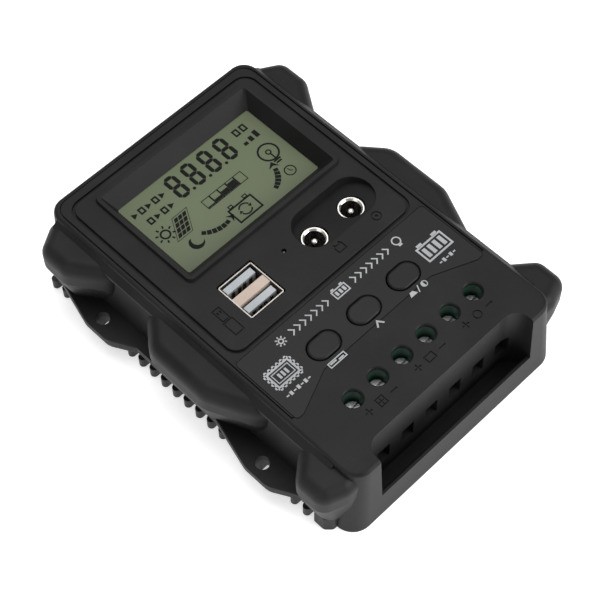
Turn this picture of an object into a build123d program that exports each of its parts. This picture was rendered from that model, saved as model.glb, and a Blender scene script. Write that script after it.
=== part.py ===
from build123d import *
import math
import os

os.makedirs("parts", exist_ok=True)

# A solar charge controller, millimetres. The origin is the centre of its footprint on the
# wall or bench, +Z comes out of its face and +Y points to the display end.

# ---- driving dimensions -------------------------------------------------------------
LENGTH = 131.6
HEIGHT = 30.0  # to the flat of the face
WALL = 2.3
FACE_WALL = 2.5
FACE_HALF_WIDTH = 41.2  # at the shoulder
FOOT_HALF_WIDTH = 44.0  # at the bottom edge, so the sides have draft
FACE_NEAR, FACE_FAR = -63.8, 65.8  # the far wall is upright
CORNER_RADIUS = 5.5

SKIRT_Z = 6.5  # bottom edge of the cover along the sides
BULGE_X = 51.3  # outermost face of the bulges on the sides
BULGE_LOW_X = 47.5  # where they meet the bottom edge, so they lean outwards going up
EAR_X = 52.2  # outer edge of the mounting ears
EAR_THICKNESS = 2.5
HOLE_SPACING_X, HOLE_SPACING_Y = 95.6, 69.0
HOLES_CENTRE_Y = 1.4
MOUNT_HOLE_RADIUS = 2.25

PLATE_RISE = 0.4  # the display panel area stands this proud of the face
PLATE_SIZE = (73.2, 71.9)
PLATE_CENTRE = (0.0, 24.45)
BEZEL_SIZE = (63.5, 43.5)
BEZEL_CENTRE = (2.0, 36.3)
BEZEL_RISE = 1.2
WINDOW_SIZE = (54.6, 32.0)
GLASS_TOP = 26.0

USB_CENTRE = (-18.0, 1.4)
USB_OUTER = (13.3, 14.3)
USB_OPENING = (13.9, 15.2)
JACKS_X = (8.4, 23.9)
JACK_Y = 1.6
SCOOP_SIZE = (30.0, 14.5)
SCOOP_CENTRE = (18.5, 3.25)
SCOOP_DEPTH = 3.0
LED_CENTRE = (-1.9, 4.1)

BUTTONS = {"left": -16.5, "middle": 0.0, "right": 16.5}
BUTTON_Y = -26.8
BUTTON_SIZE = (10.7, 7.3)
BUTTON_GAP = 0.35
BUTTON_TOP = 30.6
BUTTON_TRAVEL = 0.4

TERMINAL_PITCH = 10.0
TERMINAL_COUNT = 6
TERMINAL_CENTRE_X = 2.0
TERMINAL_Y = -44.7
TERMINALS_X = [
    TERMINAL_CENTRE_X + (i - (TERMINAL_COUNT - 1) / 2) * TERMINAL_PITCH for i in range(TERMINAL_COUNT)
]
SCREW_HOLE_RADIUS = 2.9
TROUGH_HALF_WIDTH = 31.7
TROUGH_BACK_Y = -57.2
LIP_TOP = 10.5
LIP_THICKNESS = 2.2
TROUGH_FLOOR = 2.5
SLOT_SIZE = (5.0, 7.0)
SLOT_Z = 13.0

BASE_PLATE_Z = 4.0
BASE_HALF_WIDTH = 46.5
BASE_NEAR, BASE_FAR = -53.2, 62.5
FIN_PITCH = 5.0
FIN_WIDTH = 2.6
FIN_COUNT = 23
FIN_FIRST_Y = -50.0
FIN_HALF_LENGTH = 48.0

BOSSES = [(-37.0, 56.0), (37.0, 56.0), (-37.0, -46.0), (37.0, -46.0)]
BOSS_RADIUS = 3.2
CASE_SCREW_RADIUS = 1.45

MAIN_BOARD_Z = 7.2
BOARD_THICKNESS = 1.6
MAIN_BOARD_TOP = MAIN_BOARD_Z + BOARD_THICKNESS
MAIN_BOARD_SCREWS = [(-31.0, 44.0), (31.0, 44.0), (-31.0, -32.0), (31.0, -32.0)]
DISPLAY_BOARD_Z = 19.1
DISPLAY_BOARD_TOP = DISPLAY_BOARD_Z + BOARD_THICKNESS
DISPLAY_POSTS = [(-32.0, 12.0), (32.0, 14.0), (-31.0, -31.0), (31.0, -31.0)]

# ---- terminal block heights -----------------------------------------------------------
BLOCK_NEAR, BLOCK_FAR = -54.8, -38.5
BLOCK_TOP = 28.6
SCREW_SEAT = 22.6
SCREW_HEAD_TOP = 24.2
CAGE_LOW = 9.5
CAGE_FLOOR = 1.4
CAGE_OPENING = 5.5
CAGE_ROOF = 1.6
CAGE_SIZE = (7.0, 8.0)
CAGE_OPENING_WIDTH = 5.4
CAGE_CLEARANCE = 0.25
CAVITY_TOP = 21.6
CONTACT_Z = 15.4
CONTACT_THICKNESS = 0.9
CONTACT_WIDTH = 4.8
SHAFT_RADIUS = 1.75


HOLES_Y = [HOLES_CENTRE_Y + HOLE_SPACING_Y / 2, HOLES_CENTRE_Y - HOLE_SPACING_Y / 2]


def save(piece, name):
    """Label one finished piece and write it as its own STEP file."""
    piece.part.label = name
    export_step(piece.part, f"parts/{name}.step")


def prism(points, low, high, corners=0.0, beyond=1e6, rim=0.0):
    """A plan outline on the +X side, raised from low to high. Its corners past x = beyond
    are rounded in plan, and its top edges past there get the rim radius."""
    with BuildPart() as blank:
        with BuildSketch(Plane.XY.offset(low)) as outline:
            with BuildLine():
                Polyline(*points, close=True)
            make_face()
            if corners:
                fillet(outline.vertices().filter_by(lambda v: v.X > beyond), corners)
        extrude(amount=high - low)
        if rim:
            top = blank.faces().sort_by(Axis.Z)[-1]
            fillet(top.edges().filter_by(lambda e: e.center().X > beyond - 2.0), rim)
    return blank.part


def bulge(far, near, far_run, near_run, corners):
    """A bulge on the +X side between y = near and y = far. It leans outwards up to its widest
    line, goes straight up and rounds over. far_run and near_run are the slopes of its ends."""
    with BuildPart() as swelling:
        for z, reach in ((SKIRT_Z, BULGE_LOW_X), (BULGE_WIDEST_Z, BULGE_X)):
            drawn_in = (BULGE_X - reach) / 3
            with BuildSketch(Plane.XY.offset(z)) as section:
                with BuildLine():
                    Polyline(
                        (BULGE_ROOT_X, far - drawn_in),
                        (reach - BULGE_TAPER, far - drawn_in),
                        (reach, far - drawn_in - far_run),
                        (reach, near + drawn_in + near_run),
                        (reach - BULGE_TAPER, near + drawn_in),
                        (BULGE_ROOT_X, near + drawn_in),
                        close=True,
                    )
                make_face()
                fillet(section.vertices().filter_by(lambda v: v.X > BULGE_ROOT_X + 1.0), corners)
        loft(ruled=True)
        extrude(swelling.faces().sort_by(Axis.Z)[-1], amount=BULGE_TOP - BULGE_WIDEST_Z)
        rim = swelling.faces().sort_by(Axis.Z)[-1].edges()
        fillet(rim.filter_by(lambda e: e.center().X > BULGE_ROOT_X + 5.0), BULGE_CROWN)
    return swelling.part


def bulge_hollow(far, near, far_run, near_run):
    """The hollow behind a bulge, which keeps the wall's thickness at its narrow bottom edge."""
    wall = WALL + 0.5
    reach = BULGE_LOW_X - wall
    return prism(
        [
            (HOLLOW_ROOT_X, far - wall - 1.5),
            (reach - 5.0, far - wall - 1.5),
            (reach, far - wall - 1.5 - far_run),
            (reach, near + wall + 1.5 + near_run),
            (reach - 5.0, near + wall + 1.5),
            (HOLLOW_ROOT_X, near + wall + 1.5),
        ],
        SKIRT_Z - 1.0,
        24.4,
    )


def both_sides(solid):
    """The solid on the +X side and its mirror image on the -X side."""
    return [solid, mirror(solid, about=Plane.YZ)]


# ---- skirt, +X side -----------------------------------------------------------------------
BULGE_WIDEST_Z = 19.0
BULGE_TOP = 27.8
BULGE_CROWN = 4.4
BULGE_ROOT_X = 30.0  # inside the case wall
HOLLOW_ROOT_X = 34.0
BULGE_TAPER = 8.3  # how far across the sloping ends run
FAR_BULGE = (63.0, 35.0, 5.0, 12.5)
MIDDLE_BULGE = (19.8, -31.0, 10.0, 18.5)
NEAR_BULGE = (-43.0, -63.0, 7.0, 3.0)
near_foot = [(34, -52), (47.4, -52), (47.4, -57.4), (45.4, -59.4), (34, -59.4)]
flange_strip = [(34, 61), (47.6, 57), (47.6, -54), (34, -54)]


def ear_outline(hole_y, shrink=0.0):
    """A mounting ear, with a long slope on its far side and a short one on its near side."""
    outer = EAR_X - shrink
    root = 47.6 - shrink
    return [
        (34, hole_y + 20 - shrink),
        (root, hole_y + 20 - shrink),
        (outer, hole_y + 3),
        (outer, hole_y - 6),
        (root, hole_y - 15 + shrink),
        (34, hole_y - 15 + shrink),
    ]


# ---- front cover --------------------------------------------------------------------------
# One black ABS moulding: face, sides, skirt with bulges and ears, and the wiring trough.
skirt = []
hollows = []
for shape, corners in ((FAR_BULGE, 5.0), (MIDDLE_BULGE, 8.0), (NEAR_BULGE, 4.6)):
    skirt += both_sides(bulge(*shape, corners))
    hollows += both_sides(bulge_hollow(*shape))
skirt += both_sides(prism(near_foot, 0.0, SKIRT_Z, 1.5, 42.0))
skirt += both_sides(prism(flange_strip, SKIRT_Z, SKIRT_Z + EAR_THICKNESS))
for hole_y in HOLES_Y:
    skirt += both_sides(prism(ear_outline(hole_y), SKIRT_Z, SKIRT_Z + EAR_THICKNESS, 7.0, 50.0, 0.5))

with BuildPart() as trough:
    with BuildSketch(Plane.XY.offset(LIP_TOP)):
        with Locations((0, TROUGH_BACK_Y - 15)):
            Rectangle(2 * TROUGH_HALF_WIDTH, 30)
    extrude(amount=HEIGHT)
    with BuildSketch(Plane.XY.offset(TROUGH_FLOOR)):
        lip_inner = -LENGTH / 2 + LIP_THICKNESS
        with Locations((0, (TROUGH_BACK_Y + lip_inner) / 2)):
            Rectangle(2 * TROUGH_HALF_WIDTH, TROUGH_BACK_Y - lip_inner)
    extrude(amount=LIP_TOP - TROUGH_FLOOR)
    back_corners = trough.edges().filter_by(Axis.Z).filter_by(lambda e: abs(e.center().Y - TROUGH_BACK_Y) < 0.01)
    fillet(back_corners, 5.0)

with BuildPart() as cavity:
    with BuildSketch(Plane.XY.offset(SKIRT_Z - 1.0)):
        with Locations((0, 4.2)):
            RectangleRounded(2 * 41.2, 118.4, 3.0)
    with BuildSketch(Plane.XY.offset(HEIGHT - FACE_WALL)):
        with Locations((0, 4.2)):
            RectangleRounded(2 * (FACE_HALF_WIDTH - WALL), 118.4, 3.0)
    loft()
    for side in (-1, 1):
        with BuildSketch(Plane.XY.offset(-1.0)):
            with Locations((side * 36.4, -56.4)):
                RectangleRounded(4.8, 8.4, 2.0)
        extrude(amount=HEIGHT - FACE_WALL + 1.0)

with BuildPart() as scoop:
    scoop_slope = math.degrees(math.atan2(SCOOP_DEPTH, SCOOP_SIZE[1]))
    tilt = Plane(
        origin=(SCOOP_CENTRE[0], SCOOP_CENTRE[1], HEIGHT + PLATE_RISE - SCOOP_DEPTH / 2),
        x_dir=(1, 0, 0),
        z_dir=(0, math.sin(math.radians(scoop_slope)), math.cos(math.radians(scoop_slope))),
    )
    with BuildSketch(tilt):
        SlotOverall(*SCOOP_SIZE)
    extrude(amount=8.0)


def bezel_frustum(low_size, low_z, high_size, high_z, radius):
    """A four-sided taper centred on the display, used for the bezel's outside and inside."""
    with BuildPart() as taper:
        with BuildSketch(Plane.XY.offset(low_z)):
            with Locations(BEZEL_CENTRE):
                RectangleRounded(*low_size, radius)
        with BuildSketch(Plane.XY.offset(high_z)):
            with Locations(BEZEL_CENTRE):
                RectangleRounded(*high_size, radius)
        loft()
    return taper.part


plate_top = HEIGHT + PLATE_RISE
bezel_top = plate_top + BEZEL_RISE
bezel_outside = bezel_frustum(
    BEZEL_SIZE, HEIGHT - 0.5, (BEZEL_SIZE[0] - 1.2, BEZEL_SIZE[1] - 1.2), bezel_top, 2.0
)
bezel_collar = bezel_frustum(
    (WINDOW_SIZE[0] + 5, WINDOW_SIZE[1] + 5), GLASS_TOP + 0.2, (BEZEL_SIZE[0] - 1, BEZEL_SIZE[1] - 1), HEIGHT - 1.0, 2.0
)
bezel_inside = bezel_frustum(
    (WINDOW_SIZE[0] - 0.4, WINDOW_SIZE[1] - 0.4), GLASS_TOP, (BEZEL_SIZE[0] - 3.6, BEZEL_SIZE[1] - 3.6), bezel_top + 0.1, 0.8
)


def engraved_marks():
    """Plus, minus and the source symbols beside each pair of terminals, as sketches on the face."""
    mark_y = TERMINAL_Y - 6.2
    for pair in range(TERMINAL_COUNT // 2):
        plus_x = TERMINALS_X[2 * pair]
        minus_x = TERMINALS_X[2 * pair + 1]
        middle = (plus_x + minus_x) / 2
        with Locations((plus_x, mark_y)):
            Rectangle(2.6, 0.5)
            Rectangle(0.5, 2.6)
        with Locations((minus_x, mark_y)):
            Rectangle(2.6, 0.5)
        with Locations((middle, mark_y)):
            if pair == 0:
                Rectangle(3.0, 3.2)
                Rectangle(2.2, 2.4, mode=Mode.SUBTRACT)
                Rectangle(2.4, 0.3)
                Rectangle(0.3, 2.6)
            elif pair == 1:
                Rectangle(3.4, 2.6)
                Rectangle(2.6, 1.8, mode=Mode.SUBTRACT)
                with Locations((middle - 0.9, mark_y + 1.5), (middle + 0.9, mark_y + 1.5)):
                    Rectangle(0.7, 0.5)
            else:
                Circle(1.5)
                Circle(1.1, mode=Mode.SUBTRACT)
                with Locations((middle, mark_y - 1.9)):
                    Rectangle(1.3, 0.6)


def socket_marks():
    """Small pictograms engraved beside the sockets: a flat plug by the double socket, a cell and a ring."""
    plug_x = -30.3
    with Locations((plug_x, -4.2)):
        Rectangle(3.8, 5.6)
        Rectangle(2.8, 4.6, mode=Mode.SUBTRACT)
    with Locations((plug_x, 1.3)):
        Rectangle(3.0, 5.0)
        Rectangle(2.0, 4.2, mode=Mode.SUBTRACT)
    with Locations((plug_x - 0.5, 2.0), (plug_x + 0.5, 2.0)):
        Rectangle(0.55, 1.0)
    with Locations((10.6, -6.9)):
        Rectangle(3.4, 2.8)
        Rectangle(2.5, 1.9, mode=Mode.SUBTRACT)
    with Locations((9.6, -5.2), (11.6, -5.2)):
        Rectangle(0.7, 0.6)
    with Locations((26.3, -6.6)):
        Circle(1.7)
        Circle(1.3, mode=Mode.SUBTRACT)
        Circle(0.5)


with BuildPart() as front_cover:
    with BuildSketch(Plane.XY):
        RectangleRounded(2 * FOOT_HALF_WIDTH, LENGTH, CORNER_RADIUS + 1.0)
    with BuildSketch(Plane.XY.offset(HEIGHT)):
        with Locations((0, (FACE_NEAR + FACE_FAR) / 2)):
            RectangleRounded(2 * FACE_HALF_WIDTH, FACE_FAR - FACE_NEAR, CORNER_RADIUS)
    loft()
    fillet(front_cover.faces().sort_by(Axis.Z)[-1].edges(), 1.3)
    for solid in skirt:
        add(solid)
    # A small slope eases the shoulder down to the bulges.
    for side in (-1, 1):
        with BuildSketch(Plane.XZ.offset(-61.0)):
            with BuildLine():
                Polyline(
                    (side * 39.0, 29.0), (side * 41.25, 29.0), (side * 43.2, 27.2), (side * 43.2, 26.0),
                    (side * 39.0, 26.0), close=True,
                )
            make_face()
        extrude(amount=116.0)
    # The sides stop at the skirt line, and only the wiring end reaches the bench.
    with BuildSketch(Plane.XY):
        with Locations((0, 70 - (70 + 53.5) / 2)):
            Rectangle(120, 70 + 53.5)
    extrude(amount=SKIRT_Z, mode=Mode.SUBTRACT)
    add(cavity.part, mode=Mode.SUBTRACT)
    for hollow in hollows:
        add(hollow, mode=Mode.SUBTRACT)
    add(trough.part, mode=Mode.SUBTRACT)
    fillet(
        front_cover.edges()
        .filter_by(Axis.X)
        .filter_by(lambda e: abs(e.center().Z - LIP_TOP) < 0.01 and e.center().Y < -60),
        0.8,
    )
    # Panel area round the display and sockets, with its groove.
    with BuildSketch(Plane.XY.offset(HEIGHT - 0.7)):
        with Locations(PLATE_CENTRE):
            RectangleRounded(PLATE_SIZE[0] + 2.0, PLATE_SIZE[1] + 2.0, 5.0)
            RectangleRounded(*PLATE_SIZE, 4.0, mode=Mode.SUBTRACT)
    extrude(amount=2.0, mode=Mode.SUBTRACT)
    with BuildSketch(Plane.XY.offset(HEIGHT - 1.0)) as panel:
        with Locations(PLATE_CENTRE):
            RectangleRounded(*PLATE_SIZE, 4.0)
    extrude(amount=1.0 + PLATE_RISE)
    fillet(
        front_cover.faces()
        .filter_by(lambda f: abs(f.center().Z - plate_top) < 0.01)
        .sort_by(SortBy.AREA)[-1]
        .outer_wire()
        .edges(),
        0.3,
    )
    # Fine groove that follows the rim on three sides.
    with BuildSketch(Plane.XY.offset(HEIGHT - 0.6)):
        with Locations((0, 3.6)):
            RectangleRounded(2 * 39.9, 121.2, 5.0)
            RectangleRounded(2 * 39.3, 120.6, 4.4, mode=Mode.SUBTRACT)
        with Locations((0, -68)):
            Rectangle(90, 61.2, mode=Mode.SUBTRACT)
        with Locations((-39.4, -37.1), (39.4, -37.1)):
            Rectangle(1.0, 0.6)
    extrude(amount=2.0, mode=Mode.SUBTRACT)
    # Display bezel: a raised ridge with a funnel down to the glass.
    add(bezel_outside)
    add(bezel_collar)
    add(bezel_inside, mode=Mode.SUBTRACT)
    # Thicker floor under the jack scoop, then the scoop itself.
    with BuildSketch(Plane.XY.offset(24.6)):
        with Locations(SCOOP_CENTRE):
            RectangleRounded(SCOOP_SIZE[0] + 4, SCOOP_SIZE[1] + 3, 3.0)
    extrude(amount=HEIGHT - 1.0 - 24.6)
    add(scoop.part, mode=Mode.SUBTRACT)
    with BuildSketch(Plane.XY.offset(20.0)):
        with Locations(*[(x, JACK_Y) for x in JACKS_X]):
            Circle(4.4)
        with Locations(USB_CENTRE):
            RectangleRounded(*USB_OPENING, 0.5)
        with Locations(LED_CENTRE):
            Circle(0.8)
        with Locations(*[(x, BUTTON_Y) for x in BUTTONS.values()]):
            SlotOverall(BUTTON_SIZE[0] + 2 * BUTTON_GAP, BUTTON_SIZE[1] + 2 * BUTTON_GAP)
        with Locations(*[(x, TERMINAL_Y) for x in TERMINALS_X]):
            Circle(SCREW_HOLE_RADIUS)
    extrude(amount=15.0, mode=Mode.SUBTRACT)
    chamfer(
        front_cover.edges()
        .filter_by(GeomType.CIRCLE)
        .filter_by(lambda e: abs(e.center().Z - HEIGHT) < 0.01 and abs(e.center().Y - TERMINAL_Y) < 0.1),
        0.4,
    )
    # Recess for the printed label.
    with BuildSketch(Plane.XY.offset(HEIGHT - 0.25)) as label_recess:
        with BuildLine():
            Polyline(
                (-38.9, -13.2), (38.9, -13.2), (38.9, -38.5), (36, -38.5), (22, -32.6), (-22, -32.6),
                (-36, -38.5), (-38.9, -38.5), close=True,
            )
        make_face()
        fillet(label_recess.vertices().filter_by(lambda v: abs(v.X) > 30), 1.2)
    extrude(amount=1.0, mode=Mode.SUBTRACT)
    # Wire entries in the back of the trough, and the marks on the face above them.
    with BuildSketch(Plane.XZ.offset(50.0)):
        with Locations(*[(x, SLOT_Z) for x in TERMINALS_X]):
            Rectangle(*SLOT_SIZE)
    extrude(amount=10.0, mode=Mode.SUBTRACT)
    with BuildSketch(Plane.XY.offset(HEIGHT - 0.35)):
        engraved_marks()
    extrude(amount=1.0, mode=Mode.SUBTRACT)
    with BuildSketch(Plane.XY.offset(plate_top - 0.35)):
        socket_marks()
    extrude(amount=1.0, mode=Mode.SUBTRACT)
    # The face is thinner over the terminal block, which comes up close under it.
    with BuildSketch(Plane.XY.offset(20.0)):
        with Locations((TERMINAL_CENTRE_X, (BLOCK_NEAR + BLOCK_FAR) / 2)):
            Rectangle(TERMINAL_COUNT * TERMINAL_PITCH + 2.6, BLOCK_FAR - BLOCK_NEAR + 0.6)
    extrude(amount=BLOCK_TOP + 0.1 - 20.0, mode=Mode.SUBTRACT)
    # Case bosses down to the base, and posts that carry the display board.
    with BuildSketch(Plane.XY.offset(SKIRT_Z)):
        with Locations(*BOSSES):
            Circle(BOSS_RADIUS)
            Circle(CASE_SCREW_RADIUS + 0.05, mode=Mode.SUBTRACT)
    extrude(amount=HEIGHT - FACE_WALL - SKIRT_Z + 0.5)
    with BuildSketch(Plane.XY.offset(DISPLAY_BOARD_TOP)):
        with Locations(*DISPLAY_POSTS):
            Circle(2.6)
            Circle(1.1, mode=Mode.SUBTRACT)
    extrude(amount=HEIGHT - FACE_WALL - DISPLAY_BOARD_TOP + 0.5)
    with BuildSketch(Plane.XY.offset(0.0)):
        with Locations((0, HOLES_CENTRE_Y)):
            with GridLocations(HOLE_SPACING_X, HOLE_SPACING_Y, 2, 2):
                Circle(MOUNT_HOLE_RADIUS)
    extrude(amount=15.0, mode=Mode.SUBTRACT)
save(front_cover, "front_cover")

# ---- finned base ----------------------------------------------------------------------------
# Black die-cast plate that closes the back, with cooling fins across it.
base_ears = []
for hole_y in HOLES_Y:
    base_ears += both_sides(prism(ear_outline(hole_y, 0.8), BASE_PLATE_Z, SKIRT_Z, 6.0, 50.0))

with BuildPart() as finned_base:
    with BuildSketch(Plane.XY.offset(BASE_PLATE_Z)):
        with Locations((0, (BASE_NEAR + BASE_FAR) / 2)):
            RectangleRounded(2 * BASE_HALF_WIDTH, BASE_FAR - BASE_NEAR, 4.0)
    extrude(amount=SKIRT_Z - BASE_PLATE_Z)
    for base_ear in base_ears:
        add(base_ear)
    with BuildSketch(Plane.XY):
        with Locations(*[(0, FIN_FIRST_Y + i * FIN_PITCH) for i in range(FIN_COUNT)]):
            SlotOverall(2 * FIN_HALF_LENGTH, FIN_WIDTH)
    extrude(amount=BASE_PLATE_Z)
    with BuildSketch(Plane.XY.offset(SKIRT_Z)):
        with Locations(*MAIN_BOARD_SCREWS):
            Circle(3.5)
    extrude(amount=MAIN_BOARD_Z - SKIRT_Z)
    with BuildSketch(Plane.XY):
        with Locations(*MAIN_BOARD_SCREWS):
            Circle(3.2)
    extrude(amount=BASE_PLATE_Z)
    with BuildSketch(Plane.XY.offset(1.0)):
        with Locations(*MAIN_BOARD_SCREWS):
            Circle(1.5)
    extrude(amount=MAIN_BOARD_Z, mode=Mode.SUBTRACT)
    with BuildSketch(Plane.XY):
        with Locations(*BOSSES):
            Circle(3.4)
    extrude(amount=BASE_PLATE_Z, mode=Mode.SUBTRACT)
    with BuildSketch(Plane.XY):
        with Locations(*BOSSES):
            Circle(1.6)
        with Locations((0, HOLES_CENTRE_Y)):
            with GridLocations(HOLE_SPACING_X, HOLE_SPACING_Y, 2, 2):
                Circle(MOUNT_HOLE_RADIUS)
    extrude(amount=SKIRT_Z + 1.0, mode=Mode.SUBTRACT)
save(finned_base, "finned_base")

# ---- label overlay ----------------------------------------------------------------------------
with BuildPart() as label_overlay:
    with BuildSketch(Plane.XY.offset(HEIGHT - 0.25)) as label_outline:
        with BuildLine():
            Polyline(
                (-38.7, -13.4), (38.7, -13.4), (38.7, -38.3), (36.1, -38.3), (22.1, -32.4), (-22.1, -32.4),
                (-36.1, -38.3), (-38.7, -38.3), close=True,
            )
        make_face()
        fillet(label_outline.vertices().filter_by(lambda v: abs(v.X) > 30), 1.2)
        with Locations(*[(x, BUTTON_Y) for x in BUTTONS.values()]):
            SlotOverall(BUTTON_SIZE[0] + 1.0, BUTTON_SIZE[1] + 1.0, mode=Mode.SUBTRACT)
    extrude(amount=0.35)
save(label_overlay, "label_overlay")

# ---- buttons --------------------------------------------------------------------------------------
# Each cap rests on the plunger of a tact switch on the display board.
CAP_LOW = 25.2
for side, button_x in BUTTONS.items():
    with BuildPart() as button_cap:
        with BuildSketch(Plane.XY.offset(CAP_LOW + 0.7)):
            with Locations((button_x, BUTTON_Y)):
                SlotOverall(BUTTON_SIZE[0] + 2.4, BUTTON_SIZE[1] + 2.2)
        extrude(amount=1.1)
        with BuildSketch(Plane.XY.offset(CAP_LOW + 1.8)):
            with Locations((button_x, BUTTON_Y)):
                SlotOverall(*BUTTON_SIZE)
        extrude(amount=BUTTON_TOP - CAP_LOW - 1.8)
        fillet(button_cap.faces().sort_by(Axis.Z)[-1].edges(), 0.8)
        with BuildSketch(Plane.XY.offset(CAP_LOW)):
            with Locations((button_x, BUTTON_Y)):
                Circle(2.2)
        extrude(amount=0.7)
    save(button_cap, f"button_cap_{side}")

    with BuildPart() as plunger:
        with BuildSketch(Plane.XY.offset(22.9)):
            with Locations((button_x, BUTTON_Y)):
                Circle(1.75)
        extrude(amount=CAP_LOW - 22.9)
    save(plunger, f"switch_plunger_{side}")

with BuildPart() as switch_bodies:
    with BuildSketch(Plane.XY.offset(DISPLAY_BOARD_TOP)):
        with Locations(*[(x, BUTTON_Y) for x in BUTTONS.values()]):
            Rectangle(6.0, 6.0)
    extrude(amount=3.3)
    with BuildSketch(Plane.XY.offset(22.4)):
        with Locations(*[(x, BUTTON_Y) for x in BUTTONS.values()]):
            Circle(1.85)
    extrude(amount=3.0, mode=Mode.SUBTRACT)
save(switch_bodies, "switch_bodies")

# ---- display ----------------------------------------------------------------------------------------
GLASS_CENTRE = BEZEL_CENTRE
with BuildPart() as lcd_glass:
    with BuildSketch(Plane.XY.offset(GLASS_TOP - 2.8)):
        with Locations(GLASS_CENTRE):
            Rectangle(58.0, 36.0)
    extrude(amount=2.8)
save(lcd_glass, "lcd_glass")

with BuildPart() as lcd_holder:
    with BuildSketch(Plane.XY.offset(DISPLAY_BOARD_TOP)):
        with Locations(GLASS_CENTRE):
            RectangleRounded(60.6, 38.6, 0.8)
            Rectangle(58.3, 36.3, mode=Mode.SUBTRACT)
    extrude(amount=4.6)
save(lcd_holder, "lcd_holder")

with BuildPart() as lcd_backlight:
    with BuildSketch(Plane.XY.offset(DISPLAY_BOARD_TOP)):
        with Locations(GLASS_CENTRE):
            Rectangle(57.0, 29.6)
    extrude(amount=2.4)
save(lcd_backlight, "lcd_backlight")

with BuildPart() as zebra_strips:
    with BuildSketch(Plane.XY.offset(DISPLAY_BOARD_TOP)):
        with Locations((GLASS_CENTRE[0], GLASS_CENTRE[1] - 16.6), (GLASS_CENTRE[0], GLASS_CENTRE[1] + 16.6)):
            Rectangle(55.0, 1.8)
    extrude(amount=2.5)
save(zebra_strips, "zebra_strips")

with BuildPart() as display_board:
    with BuildSketch(Plane.XY.offset(DISPLAY_BOARD_Z)):
        with Locations((0, 12.0)):
            Rectangle(71.0, 92.0)
        with Locations(*BOSSES):
            Circle(BOSS_RADIUS + 0.5, mode=Mode.SUBTRACT)
        with Locations(USB_CENTRE):
            Rectangle(USB_OUTER[0] + 1.2, USB_OUTER[1] + 1.2, mode=Mode.SUBTRACT)
        with Locations(*[(x, JACK_Y) for x in JACKS_X]):
            Rectangle(11.0, 13.0, mode=Mode.SUBTRACT)
        with Locations(*DISPLAY_POSTS):
            Circle(1.2, mode=Mode.SUBTRACT)
    extrude(amount=BOARD_THICKNESS)
save(display_board, "display_board")


def pan_screw(x, y, under_head, head_radius, head_height, shaft_radius, shaft_length, up):
    """A pan head screw with a cross slot. Its shaft runs up or down from the plane under its head."""
    way = 1 if up else -1
    with BuildPart() as screw:
        with BuildSketch(Plane.XY.offset(under_head)):
            with Locations((x, y)):
                Circle(shaft_radius)
        extrude(amount=way * shaft_length)
        with BuildSketch(Plane.XY.offset(under_head)):
            with Locations((x, y)):
                Circle(head_radius)
        extrude(amount=-way * head_height)
        with BuildSketch(Plane.XY.offset(under_head - way * head_height)):
            with Locations((x, y)):
                Rectangle(head_radius * 1.2, 0.6)
                Rectangle(0.6, head_radius * 1.2)
        extrude(amount=way * head_height * 0.5, mode=Mode.SUBTRACT)
    return screw.part


def screw_group(name, places, **sizes):
    """Identical screws in one node, one solid for each place."""
    with BuildPart() as group:
        for solid in [pan_screw(x, y, **sizes) for x, y in places]:
            add(solid)
    save(group, name)


screw_group(
    "display_board_screws", DISPLAY_POSTS,
    under_head=DISPLAY_BOARD_Z, head_radius=2.2, head_height=1.6, shaft_radius=1.05, shaft_length=6.5, up=True,
)
screw_group(
    "main_board_screws", MAIN_BOARD_SCREWS,
    under_head=MAIN_BOARD_TOP, head_radius=2.7, head_height=1.9, shaft_radius=1.45, shaft_length=7.0, up=False,
)
screw_group(
    "case_screws", BOSSES,
    under_head=BASE_PLATE_Z, head_radius=2.8, head_height=2.0, shaft_radius=CASE_SCREW_RADIUS, shaft_length=12.0,
    up=True,
)

# ---- boards and the parts on them ------------------------------------------------------------------------
with BuildPart() as main_board:
    with BuildSketch(Plane.XY.offset(MAIN_BOARD_Z)):
        with Locations((0, 2.2)):
            Rectangle(76.0, 113.6)
        with Locations(*BOSSES):
            Circle(BOSS_RADIUS + 0.5, mode=Mode.SUBTRACT)
        with Locations(*MAIN_BOARD_SCREWS):
            Circle(1.6, mode=Mode.SUBTRACT)
    extrude(amount=BOARD_THICKNESS)
save(main_board, "main_board")

with BuildPart() as thermal_pad:
    with BuildSketch(Plane.XY.offset(SKIRT_Z)):
        with Locations((0, 34)):
            Rectangle(50.0, 20.0)
    extrude(amount=MAIN_BOARD_Z - SKIRT_Z)
save(thermal_pad, "thermal_pad")

MOSFETS_X = (-21.0, -7.0, 7.0, 21.0)
MOSFET_Y = 36.0
with BuildPart() as mosfets:
    for x in MOSFETS_X:
        with BuildSketch(Plane.XY.offset(MAIN_BOARD_TOP)):
            with Locations((x, MOSFET_Y)):
                Rectangle(10.0, 9.0)
        extrude(amount=4.4)
        with BuildSketch(Plane.XY.offset(MAIN_BOARD_TOP)):
            with Locations((x, MOSFET_Y + 7.7)):
                Rectangle(10.0, 6.5)
                Circle(1.8, mode=Mode.SUBTRACT)
        extrude(amount=1.3)
save(mosfets, "mosfets")

with BuildPart() as mosfet_clamp:
    with BuildSketch(Plane.XY.offset(MAIN_BOARD_TOP + 4.4)):
        with Locations((0, MOSFET_Y)):
            RectangleRounded(56.0, 6.0, 1.0)
    extrude(amount=2.4)
save(mosfet_clamp, "mosfet_clamp")

with BuildPart() as large_capacitors:
    for y in (-12.0, -23.5):
        with BuildSketch(Plane.YZ.offset(-33.0)):
            with Locations((y, MAIN_BOARD_TOP + 4.85)):
                Circle(4.8)
        extrude(amount=17.0)
save(large_capacitors, "large_capacitors")

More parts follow.
